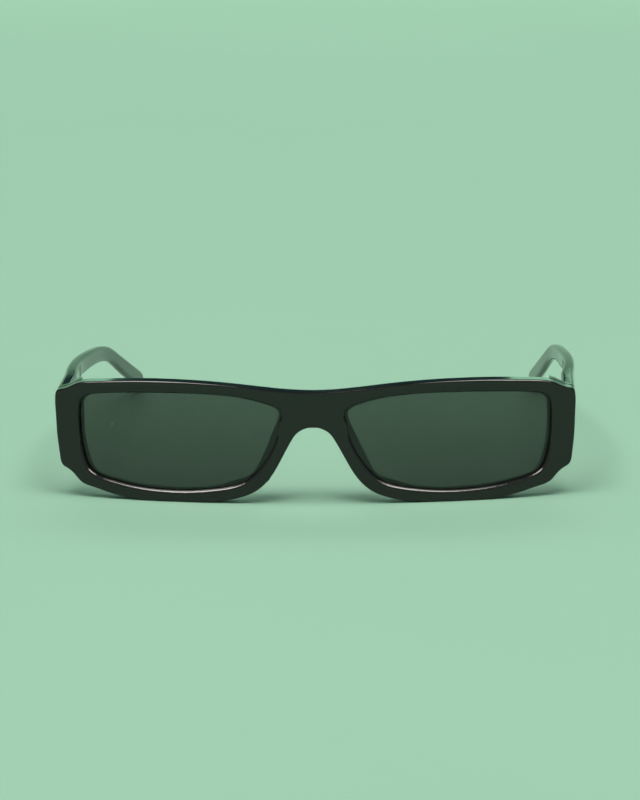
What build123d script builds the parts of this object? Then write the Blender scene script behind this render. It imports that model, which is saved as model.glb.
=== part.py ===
from build123d import *
import math
import os

# Narrow rectangle sunglasses, standing on the lower rims and the temple tips with the temples open.
# X runs along the front, towards the wearer's left side. Y runs from the front to the ears. Z is up.
# The pieces are built with y = 0 at the foremost point of the front, and moved at the end so that the
# origin lies in the middle of the footprint, on the surface that the glasses stand on.

# Driving dimensions of the front, in millimetres
opening_width = 56.1
opening_height = 27.35
bridge_width = 17.8
end_piece_width = 6.5
top_rim = 3.35
bottom_rim = 3.1
front_radius = 240.0
front_thickness = 4.4
front_rounding = 0.5
back_rounding = 0.8
rim_rounding = 1.0

# Driving dimensions of the lenses and their groove
front_lip = 1.6
lens_thickness = 1.8
groove_depth = 0.7
groove_clearance = 0.08

# Driving dimensions of the temples
temple_run = 129.0
temple_top = 30.0
temple_inset = 0.2
temple_thickness = 3.4
tip_thickness = 2.3
tip_inward = 9.2
temple_rounding = 1.0
flat_run = 14.0
seat_gap = 0.06

# Driving dimensions of the hinges
knuckle_radius = 1.4
knuckle_height = 1.45
knuckle_gap = 0.05
front_knuckles = 3
axis_clearance = 0.2
leaf_thickness = 1.0
leaf_length = 10.0
leaf_height = 9.0
leaf_clearance = 0.03
front_leaf_width = 5.2
neck_width = 2.1
screw_radius = 0.7
screw_clearance = 0.04
screw_end_gap = 0.1
screw_head_radius = 1.15
screw_head_height = 0.75
slot_width = 0.35
slot_depth = 0.4

# Driving dimensions of the bonded end blocks and nose pads
bond_gap = 0.03
end_block_depth = 0.9
end_block_width = 7.2
pad_depth = 6.0
pad_root = 1.5
pad_width = 4.4
pad_length = 17.0
pad_splay = 0.8
pad_lean = 25.0
pad_rounding = 0.9

# Driving dimensions of the core wires
core_width = 0.9
core_height = 1.7
core_clearance = 0.04
core_start = 13.5
core_end_cover = 7.0

# One overrun serves all cuts
overrun = 12.0

# Places of the hinges and the nose pads, as shares of the front's height and the bridge's width
hinge_height_share = 0.675
pad_height_share = 0.365
pad_offset_share = 0.64
# Rear end of a nose pad against its front end
pad_rear_share = 0.72

# Sizes that follow from the driving dimensions
half_width = bridge_width / 2 + opening_width + end_piece_width
front_height = bottom_rim + opening_height + top_rim
back_radius = front_radius - front_thickness
seat_y = front_radius - math.sqrt(back_radius ** 2 - half_width ** 2) + end_block_depth
temple_start = seat_y + seat_gap
temple_outer = half_width - temple_inset
temple_inner = temple_outer - temple_thickness
axis_x = temple_inner - axis_clearance - knuckle_radius
axis_y = seat_y + knuckle_radius + axis_clearance / 2
hinge_z = front_height * hinge_height_share
knuckle_count = 2 * front_knuckles - 1
hinge_base = hinge_z - (knuckle_count * (knuckle_height + knuckle_gap) - knuckle_gap) / 2

# Right half of the front's outline, as shares of the half width and the height: from the middle of the
# upper edge, round the end piece and along the lower edge, up to the middle of the nose gap
OUTLINE_SHARES = [
    (0.0, 0.924), (0.12, 0.936), (0.25, 0.964), (0.40, 0.990), (0.56, 1.0), (0.72, 0.992),
    (0.84, 0.975), (0.895, 0.960), (0.922, 0.940), (0.945, 0.915), (0.965, 0.898), (0.982, 0.890),
    (0.9945, 0.876), (0.9995, 0.845), (1.0, 0.70), (0.996, 0.50), (0.988, 0.34), (0.984, 0.290),
    (0.975, 0.255), (0.956, 0.230), (0.938, 0.202), (0.923, 0.168), (0.908, 0.133), (0.888, 0.108),
    (0.855, 0.087), (0.790, 0.047), (0.700, 0.012), (0.610, 0.0), (0.520, 0.0), (0.430, 0.003),
    (0.345, 0.018), (0.280, 0.050), (0.228, 0.095), (0.190, 0.157), (0.150, 0.265), (0.113, 0.408),
    (0.084, 0.520), (0.055, 0.597), (0.025, 0.628), (0.0, 0.632),
]
# Lens opening in the front lip, as shares of its width and height from its nasal lower corner
OPENING_SHARES = [
    (0.001, 0.775), (0.005, 0.841), (0.025, 0.872), (0.071, 0.909), (0.148, 0.951), (0.278, 0.987),
    (0.451, 1.000), (0.643, 0.995), (0.831, 0.976), (0.918, 0.958), (0.963, 0.936), (0.988, 0.890),
    (0.998, 0.808), (1.000, 0.680), (0.998, 0.578), (0.993, 0.457), (0.981, 0.333), (0.966, 0.234),
    (0.941, 0.161), (0.898, 0.112), (0.822, 0.068), (0.724, 0.028), (0.626, 0.007), (0.528, 0.000),
    (0.430, 0.007), (0.332, 0.029), (0.244, 0.062), (0.173, 0.121), (0.119, 0.219), (0.077, 0.333),
    (0.044, 0.453), (0.018, 0.592),
]
# The narrower opening in the rear lip, at the back face, as shares of the same width and height
REAR_OPENING_SHARES = [
    (0.007, 0.768), (0.012, 0.823), (0.032, 0.856), (0.078, 0.892), (0.153, 0.932), (0.282, 0.969),
    (0.451, 0.982), (0.643, 0.976), (0.813, 0.960), (0.904, 0.943), (0.947, 0.918), (0.968, 0.867),
    (0.973, 0.764), (0.973, 0.647), (0.971, 0.545), (0.964, 0.435), (0.954, 0.336), (0.939, 0.238),
    (0.918, 0.157), (0.882, 0.112), (0.813, 0.073), (0.724, 0.037), (0.617, 0.015), (0.510, 0.007),
    (0.394, 0.018), (0.305, 0.048), (0.212, 0.110), (0.162, 0.146), (0.132, 0.201), (0.105, 0.289),
    (0.078, 0.406), (0.055, 0.516), (0.034, 0.629),
]
# Temple seen from the side: distance along the run, top height and bottom height, as shares
TEMPLE_SIDE_SHARES = [
    (0.0, 1.0, 0.510), (0.070, 1.0, 0.560), (0.140, 0.995, 0.655), (0.210, 0.986, 0.745),
    (0.280, 0.970, 0.784), (0.385, 0.938, 0.766), (0.495, 0.889, 0.726), (0.605, 0.820, 0.665),
    (0.685, 0.736, 0.582), (0.750, 0.626, 0.466), (0.835, 0.474, 0.297), (0.912, 0.338, 0.140),
    (0.968, 0.238, 0.006),
]
# The rounded end of the tip, from its upper to its lower side
TIP_END_SHARES = [(0.993, 0.170), (1.0, 0.096), (0.990, 0.012)]
# Temple seen from above, past its flat part: along the run, inwards, and thinned towards the tip
TEMPLE_PLAN_SHARES = [
    (0.17, -0.035, 0.10), (0.24, -0.075, 0.25), (0.31, -0.075, 0.40), (0.38, -0.030, 0.50),
    (0.46, 0.058, 0.62), (0.61, 0.250, 0.85), (0.765, 0.540, 0.95), (1.0, 1.0, 1.0),
]
tip_overrun_share = 1.08


def front_depth(x, depth):
    """Y of the curved front at x, measured this deep below its front face."""
    radius = front_radius - depth
    return front_radius - math.sqrt(radius ** 2 - x ** 2)


def slab(near, far):
    """The space between two depths below the curved front face."""
    outer = Cylinder(front_radius - near, 4 * front_height)
    inner = Cylinder(front_radius - far, 6 * front_height)
    return Pos(0, front_radius, 0) * (outer - inner)


def front_outline():
    """The silhouette of the front as a face in the XZ plane."""
    points = [(half_width * a, front_height * b) for a, b in OUTLINE_SHARES]
    half = Spline(*points, tangents=[(1, 0), (-1, 0)])
    return Plane.XZ * make_face([half, mirror(half, about=Plane.YZ)])


def opening_plane():
    """A plane on the chord of the curved front across one lens opening, looking along its depth."""
    near = bridge_width / 2
    far = near + opening_width
    start = Vector(near, front_depth(near, 0), 0)
    end = Vector(far, front_depth(far, 0), 0)
    return Plane(origin=(start + end) / 2, x_dir=end - start, z_dir=(end - start).cross(Vector(0, 0, 1)))


def opening_points(shares, depth):
    """An opening's outline, given at this depth below the front face and seen on the opening's plane."""
    plane = opening_plane()
    points = []
    for a, b in shares:
        x = bridge_width / 2 + opening_width * a
        place = plane.to_local_coords(Vector(x, front_depth(x, depth), bottom_rim + opening_height * b))
        points.append((place.X, place.Y))
    return points


def grown(points, growth):
    """A closed ring of points, each moved outwards across the line between its neighbours."""
    moved = []
    for index, (x, y) in enumerate(points):
        before = points[index - 1]
        after = points[(index + 1) % len(points)]
        along = Vector(after[0] - before[0], after[1] - before[1]).normalized()
        moved.append((x - along.Y * growth, y + along.X * growth))
    return moved


def closed_face(points):
    return Face(Wire(Spline(*points, periodic=True)))


def opening_prism(points):
    """A closed outline on the opening's plane, run right through the front."""
    return extrude(opening_plane() * closed_face(points), amount=overrun, both=True)


def opening_tools():
    """What is cut out for one opening: the way in to the lens, and the narrower way out behind it."""
    way_in = opening_prism(opening_points(OPENING_SHARES, 0)) & slab(-overrun, front_lip + lens_thickness / 2)
    return way_in, opening_prism(opening_points(REAR_OPENING_SHARES, front_thickness))


def lens_blank(growth):
    """The outline of the front lip's opening, grown into the groove and run right through."""
    return opening_prism(grown(opening_points(OPENING_SHARES, 0), growth))


def make_lens():
    return lens_blank(groove_depth) & slab(front_lip, front_lip + lens_thickness)


def make_groove():
    near = front_lip - groove_clearance
    far = front_lip + lens_thickness + groove_clearance
    return lens_blank(groove_depth + groove_clearance) & slab(near, far)


def make_front():
    plate = extrude(front_outline(), amount=2 * overrun, both=True) & slab(0, front_thickness)
    front_face = plate.faces().sort_by(SortBy.AREA)[-2:].sort_by(Axis.Y)[0]
    plate = fillet(front_face.edges(), front_rounding)
    back_face = plate.faces().sort_by(SortBy.AREA)[-2:].sort_by(Axis.Y)[-1]
    plate = fillet(back_face.edges(), back_rounding)
    cuts = [make_groove(), *opening_tools()]
    plate = plate - cuts
    plate = plate - [mirror(cut, about=Plane.YZ) for cut in cuts]
    front_face = plate.faces().sort_by(SortBy.AREA)[-2:].sort_by(Axis.Y)[0]
    rims = [edge for wire in front_face.inner_wires() for edge in wire.edges()]
    return fillet(rims, rim_rounding)


def from_seat(depth, width, height, x, z):
    """A block that lies in front of the seat plane, with its rear face on that plane."""
    return Pos(x, seat_y, z) * Box(width, depth, height, align=(Align.MIN, Align.MAX, Align.CENTER))


def front_leaf_plate(growth):
    """The plate of the front hinge half, sunk flush into the seat."""
    width = front_leaf_width + 2 * growth
    height = leaf_height + 2 * growth
    return from_seat(leaf_thickness + growth, width, height, axis_x - neck_width / 2 - growth, hinge_z)


def make_end_block():
    """The block bonded behind the end piece, with the flat seat that the temple closes against."""
    bar = extrude(front_outline(), amount=2 * overrun, both=True)
    behind = from_seat(overrun, 2 * end_block_width, 2 * front_height, half_width - end_block_width, 0)
    block = bar & behind & slab(front_thickness + bond_gap, front_thickness + overrun)
    return block - front_leaf_plate(leaf_clearance)


def make_nose_pad():
    """A pad bonded behind the nasal side of the rim, leaning with it and spreading towards its rear."""
    x = bridge_width * pad_offset_share
    z = front_height * pad_height_share
    root_y = front_depth(x, front_thickness) - pad_root
    rear_y = root_y + pad_root + pad_depth
    rear_width = pad_width * pad_rear_share
    rear_length = pad_length * pad_rear_share
    lean = Rot(0, 0, 90 + pad_lean)
    root = Pos(x, root_y, z) * (Plane.XZ * (lean * SlotOverall(pad_length, pad_width)))
    rear = Pos(x + pad_splay, rear_y, z) * (Plane.XZ * (lean * SlotOverall(rear_length, rear_width)))
    pad = loft([root, rear])
    pad = fillet(pad.faces().sort_by(Axis.Y)[-1].edges(), pad_rounding)
    return pad & slab(front_thickness + bond_gap, front_thickness + 2 * overrun)


def knuckle_level(index):
    """Height of the lower face of a knuckle, counted from the lowest one."""
    return hinge_base + index * (knuckle_height + knuckle_gap)


def make_hinge_leaf(first, plate, neck_length, neck_angle):
    """A hinge half: its sunk plate, every other knuckle, and the necks that join them."""
    leaf = plate
    for index in range(first, knuckle_count, 2):
        barrel = Cylinder(knuckle_radius, knuckle_height, align=(Align.CENTER, Align.CENTER, Align.MIN))
        neck = Box(neck_width, neck_length, knuckle_height, align=(Align.CENTER, Align.MIN, Align.MIN))
        place = Pos(axis_x, axis_y, knuckle_level(index))
        leaf = leaf + place * (barrel + Rot(0, 0, neck_angle) * neck)
    bore_height = 4 * knuckle_count * knuckle_height
    return leaf - Pos(axis_x, axis_y, hinge_z) * Cylinder(screw_radius + screw_clearance, bore_height)


def make_front_leaf():
    neck_length = axis_y - seat_y + leaf_thickness / 2
    return make_hinge_leaf(0, front_leaf_plate(0), neck_length, neck_angle=180)


def temple_leaf_plate(growth):
    """The plate of the temple's hinge half, sunk flush into the temple's inner side."""
    plate = Box(
        leaf_thickness + growth, leaf_length + growth, leaf_height + 2 * growth,
        align=(Align.MIN, Align.MIN, Align.CENTER))
    return Pos(temple_inner, temple_start, hinge_z) * plate


def make_temple_leaf():
    neck_length = temple_inner - axis_x + leaf_thickness / 2
    return make_hinge_leaf(1, temple_leaf_plate(0), neck_length, neck_angle=-90)


def make_hinge_screw():
    """A slotted screw that runs down through all knuckles."""
    low = hinge_base + screw_end_gap
    top = knuckle_level(knuckle_count) - knuckle_gap
    seat = (Align.CENTER, Align.CENTER, Align.MIN)
    shank = Pos(0, 0, low) * Cylinder(screw_radius, top - low, align=seat)
    head = Pos(0, 0, top) * Cylinder(screw_head_radius, screw_head_height, align=seat)
    head = fillet(head.edges().group_by(Axis.Z)[-1], screw_head_height / 3)
    slot = Pos(0, 0, top + screw_head_height) * Box(3 * screw_head_radius, slot_width, 2 * slot_depth)
    return Pos(axis_x, axis_y, 0) * (shank + head - slot)


def temple_side_face():
    """The temple seen from the side, as a face in the YZ plane."""
    top = [(temple_start + temple_run * a, temple_top * b) for a, b, c in TEMPLE_SIDE_SHARES]
    end = [(temple_start + temple_run * a, temple_top * b) for a, b in TIP_END_SHARES]
    bottom = [(temple_start + temple_run * a, temple_top * c) for a, b, c in TEMPLE_SIDE_SHARES]
    bottom.reverse()
    return Plane.YZ * make_face([Spline(*top, *end, *bottom), Line(bottom[-1], top[0])])


def temple_plan_face(outer_share, inner_share):
    """A band of the temple seen from above. The shares run from 0 on its inner side to 1 on its outer."""
    sides = []
    for share in (outer_share, inner_share):
        flat_x = temple_inner + temple_thickness * share
        flat_end = (flat_x, temple_start + flat_run)
        curve = [flat_end]
        for a, inward, thinned in TEMPLE_PLAN_SHARES:
            thickness = temple_thickness + (tip_thickness - temple_thickness) * thinned
            x = temple_outer - tip_inward * inward - thickness * (1 - share)
            curve.append((x, temple_start + temple_run * a))
        slope = (curve[-1][0] - curve[-2][0]) / (curve[-1][1] - curve[-2][1])
        extra = temple_run * (tip_overrun_share - 1)
        curve.append((curve[-1][0] + slope * extra, curve[-1][1] + extra))
        sides.append((curve, (flat_x, temple_start)))
    edges = []
    for curve, start in sides:
        edges.append(Line(start, curve[0]))
        edges.append(Spline(*curve, tangents=[(0, 1), (curve[-1][0] - curve[-2][0], curve[-1][1] - curve[-2][1])]))
    edges.append(Line(sides[0][1], sides[1][1]))
    edges.append(Line(sides[0][0][-1], sides[1][0][-1]))
    return make_face(edges)


def core_band(growth):
    """The core wire's space: a band that follows the temple in both views."""
    middle = [(temple_start + temple_run * a, temple_top * (b + c) / 2) for a, b, c in TEMPLE_SIDE_SHARES]
    half_height = core_height / 2 + growth
    upper = [(y, z + half_height) for y, z in middle]
    lower = [(y, z - half_height) for y, z in middle]
    band = make_face([Spline(*upper), Spline(*lower), Line(upper[0], lower[0]), Line(upper[-1], lower[-1])])
    share = (core_width / 2 + growth) / temple_thickness
    plan = temple_plan_face(0.5 + share, 0.5 - share)
    near = temple_start + core_start - growth
    far = temple_start + temple_run - core_end_cover + growth
    reach = Pos(half_width, (near + far) / 2, 0) * Box(half_width, far - near, 4 * temple_top)
    return extrude(Plane.YZ * band, amount=2 * half_width) & extrude(plan, amount=2 * temple_top) & reach


def make_temple():
    blank = extrude(temple_side_face(), amount=2 * half_width)
    temple = blank & extrude(temple_plan_face(1, 0), amount=2 * front_height, both=True)
    long_edges = [
        edge for edge in temple.edges()
        if edge.bounding_box().size.Y > temple_thickness / 2
    ]
    temple = fillet(long_edges, temple_rounding)
    return temple - temple_leaf_plate(leaf_clearance) - core_band(core_clearance)


def build():
    """Every node by name, in its place."""
    left = {
        "end_block": make_end_block(),
        "nose_pad": make_nose_pad(),
        "lens": make_lens(),
        "front_hinge_leaf": make_front_leaf(),
        "hinge_screw": make_hinge_screw(),
        "temple": make_temple(),
        "temple_hinge_leaf": make_temple_leaf(),
        "core_wire": core_band(0),
    }
    nodes = {"front_frame": make_front()}
    for name, piece in left.items():
        nodes[name + "_left"] = piece
        nodes[name + "_right"] = mirror(piece, about=Plane.YZ)
    boxes = [nodes[name].bounding_box() for name in ("front_frame", "temple_left")]
    depth = max(box.max.Y for box in boxes)
    low = min(box.min.Z for box in boxes)
    return {name: Pos(0, -depth / 2, -low) * piece for name, piece in nodes.items()}, depth, low


def main():
    nodes, depth, low = build()
    os.makedirs("parts", exist_ok=True)
    for name, piece in nodes.items():
        export_step(piece, f"parts/{name}.step")
    print(f"hinge axis x {axis_x:.3f} y {axis_y - depth / 2:.3f}, moved by {-depth / 2:.3f} and {-low:.3f}")


if __name__ == "__main__":
    main()
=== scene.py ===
import math

import bpy
from mathutils import Matrix, Vector


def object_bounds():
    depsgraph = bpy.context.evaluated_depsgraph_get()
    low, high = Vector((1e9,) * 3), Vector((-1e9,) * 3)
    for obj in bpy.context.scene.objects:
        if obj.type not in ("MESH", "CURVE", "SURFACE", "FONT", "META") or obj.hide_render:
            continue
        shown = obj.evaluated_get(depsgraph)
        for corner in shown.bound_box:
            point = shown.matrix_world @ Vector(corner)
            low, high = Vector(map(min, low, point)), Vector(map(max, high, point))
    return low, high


# Narrow rectangle sunglasses in polished black acetate, with tinted lenses, on a pale green sweep.
# Everything is in metres. X runs along the front to the wearer's left, Y from the front to the ears, Z up.

bl_info = {
    "name": "Narrow Rectangle Sunglasses",
    "version": (1, 0, 0),
    "blender": (4, 5, 0),
    "location": "View3D > Sidebar > Sunglasses",
    "description": "Dresses the packed sunglasses in polished acetate, tinted lenses and hinge metal",
    "category": "Object",
}

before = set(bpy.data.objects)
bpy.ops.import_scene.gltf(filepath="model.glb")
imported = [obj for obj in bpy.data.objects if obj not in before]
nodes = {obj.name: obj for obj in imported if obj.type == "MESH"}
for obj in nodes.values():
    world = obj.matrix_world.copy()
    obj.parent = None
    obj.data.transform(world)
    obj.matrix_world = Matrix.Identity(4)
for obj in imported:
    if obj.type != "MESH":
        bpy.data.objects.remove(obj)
cad_box = [list(corner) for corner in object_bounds()]

SIDES = ("left", "right")

# Polished plastic. Scales are in waves or cells per metre, ranges run from none to full.
HAZE_SCALE = 70.0
HAZE_RANGE = (0.42, 0.7)
SMEAR_SCALE = 420.0
SMEAR_SHARE = 0.35
SPECK_SCALE = 1150.0
SPECK_EDGE = (0.16, 0.05)
SPECK_COVER = 0.55
SPECK_ROUGHNESS = 0.5
SPECK_HEIGHT = 0.00001
GRIT_SCALE = 300.0
GRIT_RANGE = (0.45, 0.6)
WAVE_SCALE = 55.0
ACETATE_IOR = 1.49

# The lens tint is scaled from the foot of the opening to its top as painted shade and painted light: darker
# at the foot, lighter at the top.
LENS_HEIGHTS = (0.002, 0.033)
LENS_PAINTED_LIGHT_GRADING = (0.76, 1.26)
LENS_DUST_COLOR = (0.35, 0.38, 0.36, 1)
LENS_HAZE = 0.008
LENS_DUST = 0.006
LENS_IOR = 1.5

# Brushed metal. The noise is drawn out into lines along the axes with the smaller numbers.
STAIN_SCALE = 260.0
STAIN_RANGE = (0.4, 0.75)
STAIN_SHARE = (0.0, 0.35)
STAIN_COLOR = (0.24, 0.22, 0.19, 1)
LINE_RANGE = (0.3, 0.75)
LINE_ROUGHNESS = (-0.06, 0.14)
WIRE_LINES = (2000.0, 40.0, 2000.0)
HINGE_LINES = (600.0, 600.0, 5000.0)
SCREW_LINES = (5000.0, 300.0, 600.0)
SCREW_POLISH = 0.08

# The paper sweep.
SWEEP_HALF_WIDTH = 2.5
SWEEP_FRONT = 2.5
SWEEP_BEND = 1.15
SWEEP_RADIUS = 0.26
SWEEP_HEIGHT = 0.28
SWEEP_STEPS = 16
CLOUD_SCALE = 6.0
CLOUD_RANGE = (0.3, 0.7)
CLOUD_SHADE = 0.985
PAPER_ROUGHNESS = 0.9
PAPER_SPECULAR = 0.1

# The room's colour turns from front to back over this range of a direction's Y.
ROOM_TURN = (-0.45, 0.05)
ROOM_FRONT = (0.34, 0.43, 0.38, 1)
ROOM_BACK = (0.010, 0.050, 0.052, 1)

# Two softboxes high in front, each with its sign of X and its power. Lamps are named as the camera sees them.
SOFTBOXES = (("softbox_left", -1, 20.0), ("softbox_right", 1, 18.5))
BOX_DISTANCE = 1.3
BOX_AZIMUTH = math.radians(46)
BOX_ELEVATION = math.radians(57)
BOX_TARGET = (0, 0, 0.02)
BOX_SIZE = (0.46, 0.85)
BOX_COLOR = (1.0, 0.95, 0.90)

# Fills overhead, each with its Y, height, depth and power.
FILLS = (("front_fill", -0.75, 2.8, 2.0, 78.0), ("back_fill", 2.0, 1.6, 1.2, 22.5))
FILL_WIDTH = 3.0
FILL_COLOR = (1.0, 0.985, 0.985)

# Low glows above the back of the sweep, each with its X. Only gloss shows them.
GLOWS = (("back_glow_left", -0.485), ("back_glow_right", 0.330))
GLOW_Y = SWEEP_BEND + SWEEP_RADIUS
GLOW_HEIGHT = 0.30
GLOW_SIZE = (0.46, 0.44)
GLOW_POWER = 0.95
GLOW_COLOR = (0.49, 1.0, 0.64)

# The camera's aim is a height on the front, and falls on this column and row of the picture.
PICTURE_WIDTH = 640
PICTURE_HEIGHT = 800
AIM_HEIGHT = 0.018025
AIM_COLUMN = 313.0
AIM_ROW = 440.3
SENSOR_SIDE = 36.0
CLIP_START = 0.05
CLIP_END = 20


class AcetateSettings(bpy.types.PropertyGroup):
    """Finish of the front, end blocks, nose pads and temples"""
    color: bpy.props.FloatVectorProperty(
        name="Acetate colour", description="Body colour of the acetate under its polish",
        subtype="COLOR", size=3, min=0, max=1, default=(0.0085, 0.0075, 0.0072))
    roughness: bpy.props.FloatProperty(
        name="Polish", description="Roughness of the polished surface",
        subtype="FACTOR", min=0, max=1, default=0.055)
    haze: bpy.props.FloatProperty(
        name="Handling haze", description="How much roughness varies where the frame is handled",
        subtype="FACTOR", min=0, max=1, default=0.07)
    dust: bpy.props.FloatProperty(
        name="Dust", description="Share of the surface with specks of dust",
        subtype="FACTOR", min=0, max=1, default=0.035)
    ripple: bpy.props.FloatProperty(
        name="Polishing ripple", description="Height of the slow waves that tumbling leaves",
        unit="LENGTH", min=0, max=0.001, default=0.000006, precision=6)


class LensSettings(bpy.types.PropertyGroup):
    """Finish of both lenses"""
    tint: bpy.props.FloatVectorProperty(
        name="Lens tint", description="Colour of the light that passes through the lens at half its height",
        subtype="COLOR", size=3, min=0, max=1, default=(0.089, 0.095, 0.085))
    roughness: bpy.props.FloatProperty(
        name="Lens polish", description="Roughness of the lens faces",
        subtype="FACTOR", min=0, max=1, default=0.004)


class MetalSettings(bpy.types.PropertyGroup):
    """Finish of the hinges, screws and core wires"""
    nickel: bpy.props.FloatVectorProperty(
        name="Hinge metal", description="Colour of the nickel silver hinge",
        subtype="COLOR", size=3, min=0, max=1, default=(0.62, 0.61, 0.58))
    screw: bpy.props.FloatVectorProperty(
        name="Screw metal", description="Colour of the hinge screws",
        subtype="COLOR", size=3, min=0, max=1, default=(0.70, 0.69, 0.66))
    wire: bpy.props.FloatVectorProperty(
        name="Core wire", description="Colour of the wire in the temples",
        subtype="COLOR", size=3, min=0, max=1, default=(0.60, 0.59, 0.56))
    roughness: bpy.props.FloatProperty(
        name="Metal roughness", description="Roughness of the brushed metal",
        subtype="FACTOR", min=0, max=1, default=0.28)


class StageSettings(bpy.types.PropertyGroup):
    """Floor colour and camera"""
    floor_color: bpy.props.FloatVectorProperty(
        name="Floor colour", description="Colour of the paper sweep",
        subtype="COLOR", size=3, min=0, max=1, default=(0.363, 0.602, 0.434))
    distance: bpy.props.FloatProperty(
        name="Camera distance", description="From the camera to the middle of the front",
        unit="LENGTH", min=0.2, max=5, default=1.0)
    elevation: bpy.props.FloatProperty(
        name="Camera elevation", description="Height angle of the camera",
        unit="ROTATION", default=math.radians(13.3))
    azimuth: bpy.props.FloatProperty(
        name="Camera azimuth", description="Turn of the camera to the wearer's left",
        unit="ROTATION", default=math.radians(2.9))
    roll: bpy.props.FloatProperty(
        name="Camera roll", description="Roll of the camera",
        unit="ROTATION", default=math.radians(0.83))
    focal_pixels: bpy.props.FloatProperty(
        name="Focal length in pixels", description="Focal length against the picture's height in pixels",
        min=100, default=3674.0)


class SunglassesSettings(bpy.types.PropertyGroup):
    """All settings of the sunglasses"""
    acetate: bpy.props.PointerProperty(type=AcetateSettings)
    lens: bpy.props.PointerProperty(type=LensSettings)
    metal: bpy.props.PointerProperty(type=MetalSettings)
    stage: bpy.props.PointerProperty(type=StageSettings)


def settings():
    return bpy.context.scene.sunglasses


def new_group(name, inputs, outputs):
    """A shader node group with these sockets. Inputs are (name, kind, default), outputs (name, kind)."""
    group = bpy.data.node_groups.new(name, "ShaderNodeTree")
    for label, kind, default in inputs:
        socket = group.interface.new_socket(name=label, in_out="INPUT", socket_type="NodeSocket" + kind)
        socket.default_value = default
    for label, kind in outputs:
        group.interface.new_socket(name=label, in_out="OUTPUT", socket_type="NodeSocket" + kind)
    return group, group.nodes.new("NodeGroupInput"), group.nodes.new("NodeGroupOutput")


def add(tree, kind, values=None, **attributes):
    """A node with its attributes, and the values or links of its inputs by name or number."""
    node = tree.nodes.new("ShaderNode" + kind)
    for name, value in attributes.items():
        setattr(node, name, value)
    for socket, value in (values or {}).items():
        if isinstance(value, bpy.types.NodeSocket):
            tree.links.new(value, node.inputs[socket])
        else:
            node.inputs[socket].default_value = value
    return node


def math_node(tree, operation, first, second):
    """One sum, product or comparison of two values."""
    return add(tree, "Math", {0: first, 1: second}, operation=operation).outputs[0]


def noise(tree, place, scale, detail, roughness=0.5):
    """A cloudy noise over the surface."""
    values = {"Vector": place, "Scale": scale, "Detail": detail, "Roughness": roughness}
    return add(tree, "TexNoise", values).outputs["Fac"]


def ramp(tree, value, span, result=(0.0, 1.0)):
    """A smooth map of a value from one range to another."""
    values = {
        "Value": value, "From Min": span[0], "From Max": span[1], "To Min": result[0], "To Max": result[1],
    }
    return add(tree, "MapRange", values, interpolation_type="SMOOTHSTEP").outputs["Result"]


def mix_color(tree, factor, first, second):
    """A blend of two colours."""
    node = add(tree, "Mix", {"Factor": factor, "A": first, "B": second}, data_type="RGBA")
    return node.outputs["Result"]


def put_out(tree, made, color, roughness, height):
    """Links a surface group's three results to its outputs."""
    for label, value in (("Color", color), ("Roughness", roughness), ("Height", height)):
        tree.links.new(value, made.inputs[label])


def polish_group():
    """Handling haze, dust and slow ripples of a polished plastic."""
    found = bpy.data.node_groups.get("polished_surface")
    if found:
        return found
    tree, given, made = new_group("polished_surface", [
        ("Color", "Color", (0.01, 0.01, 0.01, 1)),
        ("Dust Color", "Color", (0.30, 0.32, 0.30, 1)),
        ("Roughness", "Float", 0.07),
        ("Haze", "Float", 0.1),
        ("Dust", "Float", 0.03),
        ("Ripple", "Float", 0.000006),
    ], [("Color", "Color"), ("Roughness", "Float"), ("Height", "Float")])
    place = add(tree, "TexCoord").outputs["Object"]
    haze = noise(tree, place, HAZE_SCALE, detail=4.0, roughness=0.6)
    smear = noise(tree, place, SMEAR_SCALE, detail=3.0, roughness=0.7)
    cells = add(tree, "TexVoronoi", {"Vector": place, "Scale": SPECK_SCALE}, feature="F1")
    grit = noise(tree, place, GRIT_SCALE, detail=2.0)
    near = ramp(tree, cells.outputs["Distance"], SPECK_EDGE)
    chance = add(tree, "SeparateColor", {"Color": cells.outputs["Color"]}).outputs["Red"]
    chosen = math_node(tree, "LESS_THAN", chance, given.outputs["Dust"])
    specks = math_node(tree, "MULTIPLY", near, chosen)
    specks = math_node(tree, "MULTIPLY", specks, ramp(tree, grit, GRIT_RANGE))
    cover = math_node(tree, "MULTIPLY", specks, SPECK_COVER)
    color = mix_color(tree, cover, given.outputs["Color"], given.outputs["Dust Color"])
    smear = math_node(tree, "MULTIPLY", smear, SMEAR_SHARE)
    uneven = math_node(tree, "ADD", ramp(tree, haze, HAZE_RANGE), smear)
    extra = math_node(tree, "MULTIPLY", uneven, given.outputs["Haze"])
    rough = math_node(tree, "ADD", given.outputs["Roughness"], extra)
    rough = math_node(tree, "ADD", rough, math_node(tree, "MULTIPLY", specks, SPECK_ROUGHNESS))
    waves = noise(tree, place, WAVE_SCALE, detail=1.0)
    height = math_node(tree, "MULTIPLY", waves, given.outputs["Ripple"])
    height = math_node(tree, "ADD", height, math_node(tree, "MULTIPLY", specks, SPECK_HEIGHT))
    put_out(tree, made, color, rough, height)
    return tree


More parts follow.
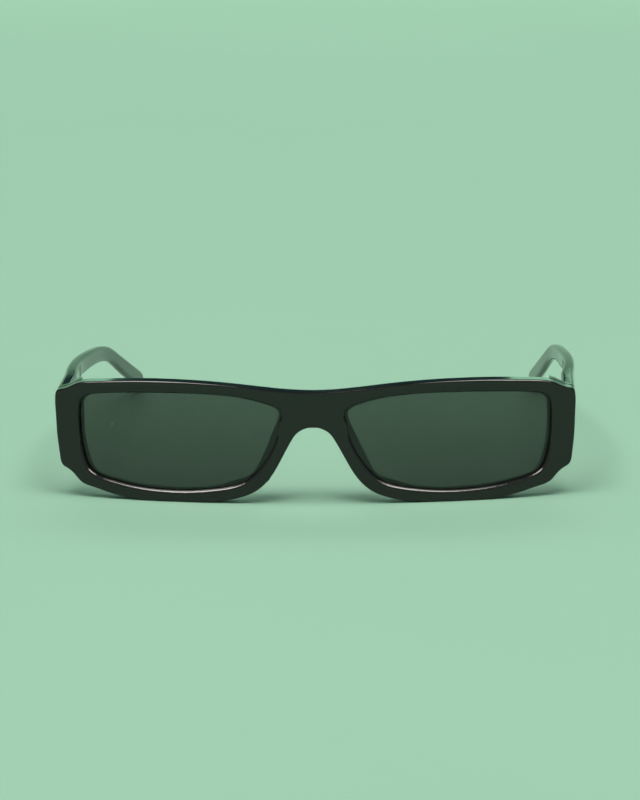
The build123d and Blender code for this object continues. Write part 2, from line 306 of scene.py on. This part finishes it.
def brush_group():
    """Fine drawn lines of a brushed or drawn metal, along one axis."""
    found = bpy.data.node_groups.get("brushed_lines")
    if found:
        return found
    tree, given, made = new_group("brushed_lines", [
        ("Color", "Color", (0.6, 0.6, 0.6, 1)),
        ("Roughness", "Float", 0.3),
        ("Line Stretch", "Vector", (60.0, 900.0, 4000.0)),
        ("Depth", "Float", 0.000004),
    ], [("Color", "Color"), ("Roughness", "Float"), ("Height", "Float")])
    place = add(tree, "TexCoord").outputs["Object"]
    drawn = add(tree, "VectorMath", {0: place, 1: given.outputs["Line Stretch"]}, operation="MULTIPLY")
    lines = noise(tree, drawn.outputs[0], scale=1.0, detail=5.0, roughness=0.7)
    stain = noise(tree, place, STAIN_SCALE, detail=3.0)
    shade = add(tree, "MixRGB", {
        "Fac": ramp(tree, stain, STAIN_RANGE, STAIN_SHARE),
        "Color1": given.outputs["Color"], "Color2": STAIN_COLOR,
    })
    rough = math_node(tree, "ADD", given.outputs["Roughness"], ramp(tree, lines, LINE_RANGE, LINE_ROUGHNESS))
    height = math_node(tree, "MULTIPLY", lines, given.outputs["Depth"])
    put_out(tree, made, shade.outputs["Color"], rough, height)
    return tree


def new_material(name):
    """A material with a shader and its output."""
    material = bpy.data.materials.new(name)
    material.use_nodes = True
    tree = material.node_tree
    tree.nodes.clear()
    shader = add(tree, "BsdfPrincipled")
    add(tree, "OutputMaterial", {"Surface": shader.outputs["BSDF"]})
    return material, tree, shader


def place_group(tree, group, values):
    """A surface group in a material, with its own values."""
    node = tree.nodes.new("ShaderNodeGroup")
    node.node_tree = group
    for label, value in values.items():
        node.inputs[label].default_value = value
    return node


def link_surface(tree, shader, surface, color=None):
    """Feeds a surface group to the shader, with another colour if one is given. Its height is in metres."""
    tree.links.new(color or surface.outputs["Color"], shader.inputs["Base Color"])
    tree.links.new(surface.outputs["Roughness"], shader.inputs["Roughness"])
    bump = add(tree, "Bump", {"Height": surface.outputs["Height"], "Strength": 1.0, "Distance": 1.0})
    tree.links.new(bump.outputs["Normal"], shader.inputs["Normal"])


def acetate_material():
    """Polished black acetate, made once for all its pieces."""
    found = bpy.data.materials.get("acetate_black")
    if found:
        return found
    given = settings().acetate
    material, tree, shader = new_material("acetate_black")
    surface = place_group(tree, polish_group(), {
        "Color": (*given.color, 1), "Roughness": given.roughness, "Haze": given.haze,
        "Dust": given.dust, "Ripple": given.ripple,
    })
    link_surface(tree, shader, surface)
    shader.inputs["IOR"].default_value = ACETATE_IOR
    return material


def lens_material():
    """Tinted lens, with painted shade towards its foot and painted light towards its top."""
    given = settings().lens
    material, tree, shader = new_material("lens_tint")
    surface = place_group(tree, polish_group(), {
        "Color": (*given.tint, 1), "Dust Color": LENS_DUST_COLOR, "Roughness": given.roughness,
        "Haze": LENS_HAZE, "Dust": LENS_DUST, "Ripple": 0.0,
    })
    # Painted shade and light: the tint is scaled down at the foot of the opening and up at its top.
    height = add(tree, "SeparateXYZ", {"Vector": add(tree, "TexCoord").outputs["Object"]}).outputs["Z"]
    painted_light_grading = ramp(tree, height, LENS_HEIGHTS, LENS_PAINTED_LIGHT_GRADING)
    painted_light_tint = add(tree, "VectorMath", {0: surface.outputs["Color"], "Scale": painted_light_grading}, operation="SCALE")
    link_surface(tree, shader, surface, painted_light_tint.outputs["Vector"])
    shader.inputs["IOR"].default_value = LENS_IOR
    shader.inputs["Transmission Weight"].default_value = 1.0
    return material


def metal_material(name, color, roughness, stretch):
    """Brushed metal with lines along one axis."""
    material, tree, shader = new_material(name)
    surface = place_group(tree, brush_group(), {
        "Color": (*color, 1), "Roughness": roughness, "Line Stretch": stretch,
    })
    link_surface(tree, shader, surface)
    shader.inputs["Metallic"].default_value = 1.0
    return material


def sweep_material():
    """Pale green paper with faint clouding."""
    material, tree, shader = new_material("paper_sweep")
    color = settings().stage.floor_color
    place = add(tree, "TexCoord").outputs["Object"]
    cloud = noise(tree, place, CLOUD_SCALE, detail=3.0)
    darker = tuple(value * CLOUD_SHADE for value in color)
    tone = mix_color(tree, ramp(tree, cloud, CLOUD_RANGE), (*color, 1), (*darker, 1))
    tree.links.new(tone, shader.inputs["Base Color"])
    shader.inputs["Roughness"].default_value = PAPER_ROUGHNESS
    shader.inputs["Specular IOR Level"].default_value = PAPER_SPECULAR
    return material


def dress(name, material):
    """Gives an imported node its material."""
    piece = nodes[name]
    piece.data.materials.clear()
    piece.data.materials.append(material)


def make_sweep():
    """A paper sweep: flat under the glasses, then curved up behind them."""
    profile = [(-SWEEP_FRONT, 0.0), (0.0, 0.0)]
    for step in range(SWEEP_STEPS + 1):
        angle = math.pi / 2 * step / SWEEP_STEPS
        profile.append((SWEEP_BEND + SWEEP_RADIUS * math.sin(angle), SWEEP_RADIUS * (1 - math.cos(angle))))
    profile.append((SWEEP_BEND + SWEEP_RADIUS, SWEEP_HEIGHT))
    points = [(x, y, z) for y, z in profile for x in (-SWEEP_HALF_WIDTH, SWEEP_HALF_WIDTH)]
    faces = [(2 * i, 2 * i + 1, 2 * i + 3, 2 * i + 2) for i in range(len(profile) - 1)]
    mesh = bpy.data.meshes.new("sweep")
    mesh.from_pydata(points, [], faces)
    mesh.shade_smooth()
    mesh.materials.append(sweep_material())
    sweep = bpy.data.objects.new("sweep", mesh)
    bpy.context.scene.collection.objects.link(sweep)


def make_room():
    """A dim room: pale in front of the glasses, dark blue-green above and behind them."""
    world = bpy.data.worlds.new("room")
    world.use_nodes = True
    tree = world.node_tree
    place = add(tree, "TexCoord").outputs["Generated"]
    toward_back = add(tree, "SeparateXYZ", {"Vector": place}).outputs["Y"]
    tone = mix_color(tree, ramp(tree, toward_back, ROOM_TURN), ROOM_FRONT, ROOM_BACK)
    tree.links.new(tone, tree.nodes["Background"].inputs["Color"])
    bpy.context.scene.world = world


def direction(azimuth, elevation):
    """The way to a lamp or camera. Azimuth turns from straight in front to the wearer's left."""
    flat = math.cos(elevation)
    return Vector((math.sin(azimuth) * flat, -math.cos(azimuth) * flat, math.sin(elevation)))


def add_area(name, place, target, size, power, color):
    """An area light that faces a point."""
    light = bpy.data.lights.new(name, "AREA")
    light.shape = "RECTANGLE"
    light.size, light.size_y = size
    light.energy = power
    light.color = color
    lamp = bpy.data.objects.new(name, light)
    lamp.location = place
    lamp.rotation_euler = (Vector(target) - Vector(place)).to_track_quat("-Z", "Y").to_euler()
    bpy.context.scene.collection.objects.link(lamp)
    return lamp


def make_lamps():
    """Softboxes and glows that gloss mirrors, and fills that light the floor and everything matt."""
    for name, side, power in SOFTBOXES:
        place = direction(side * BOX_AZIMUTH, BOX_ELEVATION) * BOX_DISTANCE
        box = add_area(name, place, BOX_TARGET, BOX_SIZE, power, BOX_COLOR)
        box.visible_diffuse = False
    for name, y, height, depth, power in FILLS:
        fill = add_area(name, (0, y, height), (0, y, 0), (FILL_WIDTH, depth), power, FILL_COLOR)
        fill.visible_glossy = False
    for name, x in GLOWS:
        place = (x, GLOW_Y, GLOW_HEIGHT)
        glow = add_area(name, place, (x, 0, GLOW_HEIGHT), GLOW_SIZE, GLOW_POWER, GLOW_COLOR)
        glow.visible_camera = False
        glow.visible_diffuse = False
        glow.visible_transmission = False


def make_camera():
    """The camera. It is turned, with no shift, so that its aim falls on its place in the picture."""
    given = settings().stage
    lens = bpy.data.cameras.new("camera")
    lens.sensor_width = SENSOR_SIDE
    lens.lens = given.focal_pixels / PICTURE_HEIGHT * SENSOR_SIDE
    lens.clip_start = CLIP_START
    lens.clip_end = CLIP_END
    camera = bpy.data.objects.new("camera", lens)
    bpy.context.scene.collection.objects.link(camera)
    bpy.context.scene.camera = camera

    aim = Vector((0, cad_box[0][1], AIM_HEIGHT))
    away = direction(given.azimuth, given.elevation)
    camera.location = aim + away * given.distance
    right = Vector((0, 0, 1)).cross(away).normalized()
    up = away.cross(right)
    turned_right = right * math.cos(given.roll) - up * math.sin(given.roll)
    turned_up = up * math.cos(given.roll) + right * math.sin(given.roll)
    pixel = given.distance / given.focal_pixels
    middle = aim + turned_right * ((PICTURE_WIDTH / 2 - AIM_COLUMN) * pixel)
    middle += turned_up * ((AIM_ROW - PICTURE_HEIGHT / 2) * pixel)
    back_axis = (camera.location - middle).normalized()
    right_axis = turned_up.cross(back_axis).normalized()
    up_axis = back_axis.cross(right_axis)
    camera.rotation_euler = Matrix((right_axis, up_axis, back_axis)).transposed().to_euler()


class SUNGLASSES_OT_front(bpy.types.Operator):
    """Dresses the front with its end blocks and nose pads"""
    bl_idname = "sunglasses.front"
    bl_label = "Front"

    def execute(self, context):
        black = acetate_material()
        dress("front_frame", black)
        for side in SIDES:
            dress("end_block_" + side, black)
            dress("nose_pad_" + side, black)
        return {"FINISHED"}


class SUNGLASSES_OT_lenses(bpy.types.Operator):
    """Dresses both lenses"""
    bl_idname = "sunglasses.lenses"
    bl_label = "Lenses"

    def execute(self, context):
        tinted = lens_material()
        for side in SIDES:
            dress("lens_" + side, tinted)
        return {"FINISHED"}


class SUNGLASSES_OT_temples(bpy.types.Operator):
    """Dresses both temples and the wires inside them"""
    bl_idname = "sunglasses.temples"
    bl_label = "Temples"

    def execute(self, context):
        given = settings().metal
        black = acetate_material()
        wire = metal_material("core_wire", given.wire, given.roughness, WIRE_LINES)
        for side in SIDES:
            dress("temple_" + side, black)
            dress("core_wire_" + side, wire)
        return {"FINISHED"}


class SUNGLASSES_OT_hinges(bpy.types.Operator):
    """Dresses the hinge halves and screws"""
    bl_idname = "sunglasses.hinges"
    bl_label = "Hinges"

    def execute(self, context):
        given = settings().metal
        nickel = metal_material("nickel_silver", given.nickel, given.roughness, HINGE_LINES)
        screw = metal_material("screw_steel", given.screw, given.roughness - SCREW_POLISH, SCREW_LINES)
        for side in SIDES:
            dress("front_hinge_leaf_" + side, nickel)
            dress("temple_hinge_leaf_" + side, nickel)
            dress("hinge_screw_" + side, screw)
        return {"FINISHED"}


class SUNGLASSES_OT_stage(bpy.types.Operator):
    """Makes the sweep, the room, the lamps and the camera"""
    bl_idname = "sunglasses.stage"
    bl_label = "Stage"

    def execute(self, context):
        make_sweep()
        make_room()
        make_lamps()
        make_camera()
        context.scene.view_settings.view_transform = "Standard"
        return {"FINISHED"}


class SUNGLASSES_PT_panel(bpy.types.Panel):
    """Lists the steps and their settings"""
    bl_idname = "SUNGLASSES_PT_panel"
    bl_label = "Sunglasses"
    bl_space_type = "VIEW_3D"
    bl_region_type = "UI"
    bl_category = "Sunglasses"

    def draw(self, context):
        given = context.scene.sunglasses
        for operator, group, names in (
            ("front", given.acetate, ("color", "roughness", "haze", "dust", "ripple")),
            ("lenses", given.lens, ("tint", "roughness")),
            ("temples", given.metal, ("wire",)),
            ("hinges", given.metal, ("nickel", "screw", "roughness")),
            ("stage", given.stage, (
                "floor_color", "distance", "elevation", "azimuth", "roll", "focal_pixels")),
        ):
            column = self.layout.column()
            for name in names:
                column.prop(group, name)
            column.operator("sunglasses." + operator)


CLASSES = (
    AcetateSettings, LensSettings, MetalSettings, StageSettings, SunglassesSettings,
    SUNGLASSES_OT_front, SUNGLASSES_OT_lenses, SUNGLASSES_OT_temples, SUNGLASSES_OT_hinges,
    SUNGLASSES_OT_stage, SUNGLASSES_PT_panel,
)


def register():
    for cls in CLASSES:
        bpy.utils.register_class(cls)
    bpy.types.Scene.sunglasses = bpy.props.PointerProperty(type=SunglassesSettings)


def unregister():
    del bpy.types.Scene.sunglasses
    for cls in reversed(CLASSES):
        bpy.utils.unregister_class(cls)


def main():
    register()
    bpy.ops.sunglasses.front()
    bpy.ops.sunglasses.lenses()
    bpy.ops.sunglasses.temples()
    bpy.ops.sunglasses.hinges()
    bpy.ops.sunglasses.stage()
    bpy.context.view_layer.update()


if __name__ == "__main__":
    main()
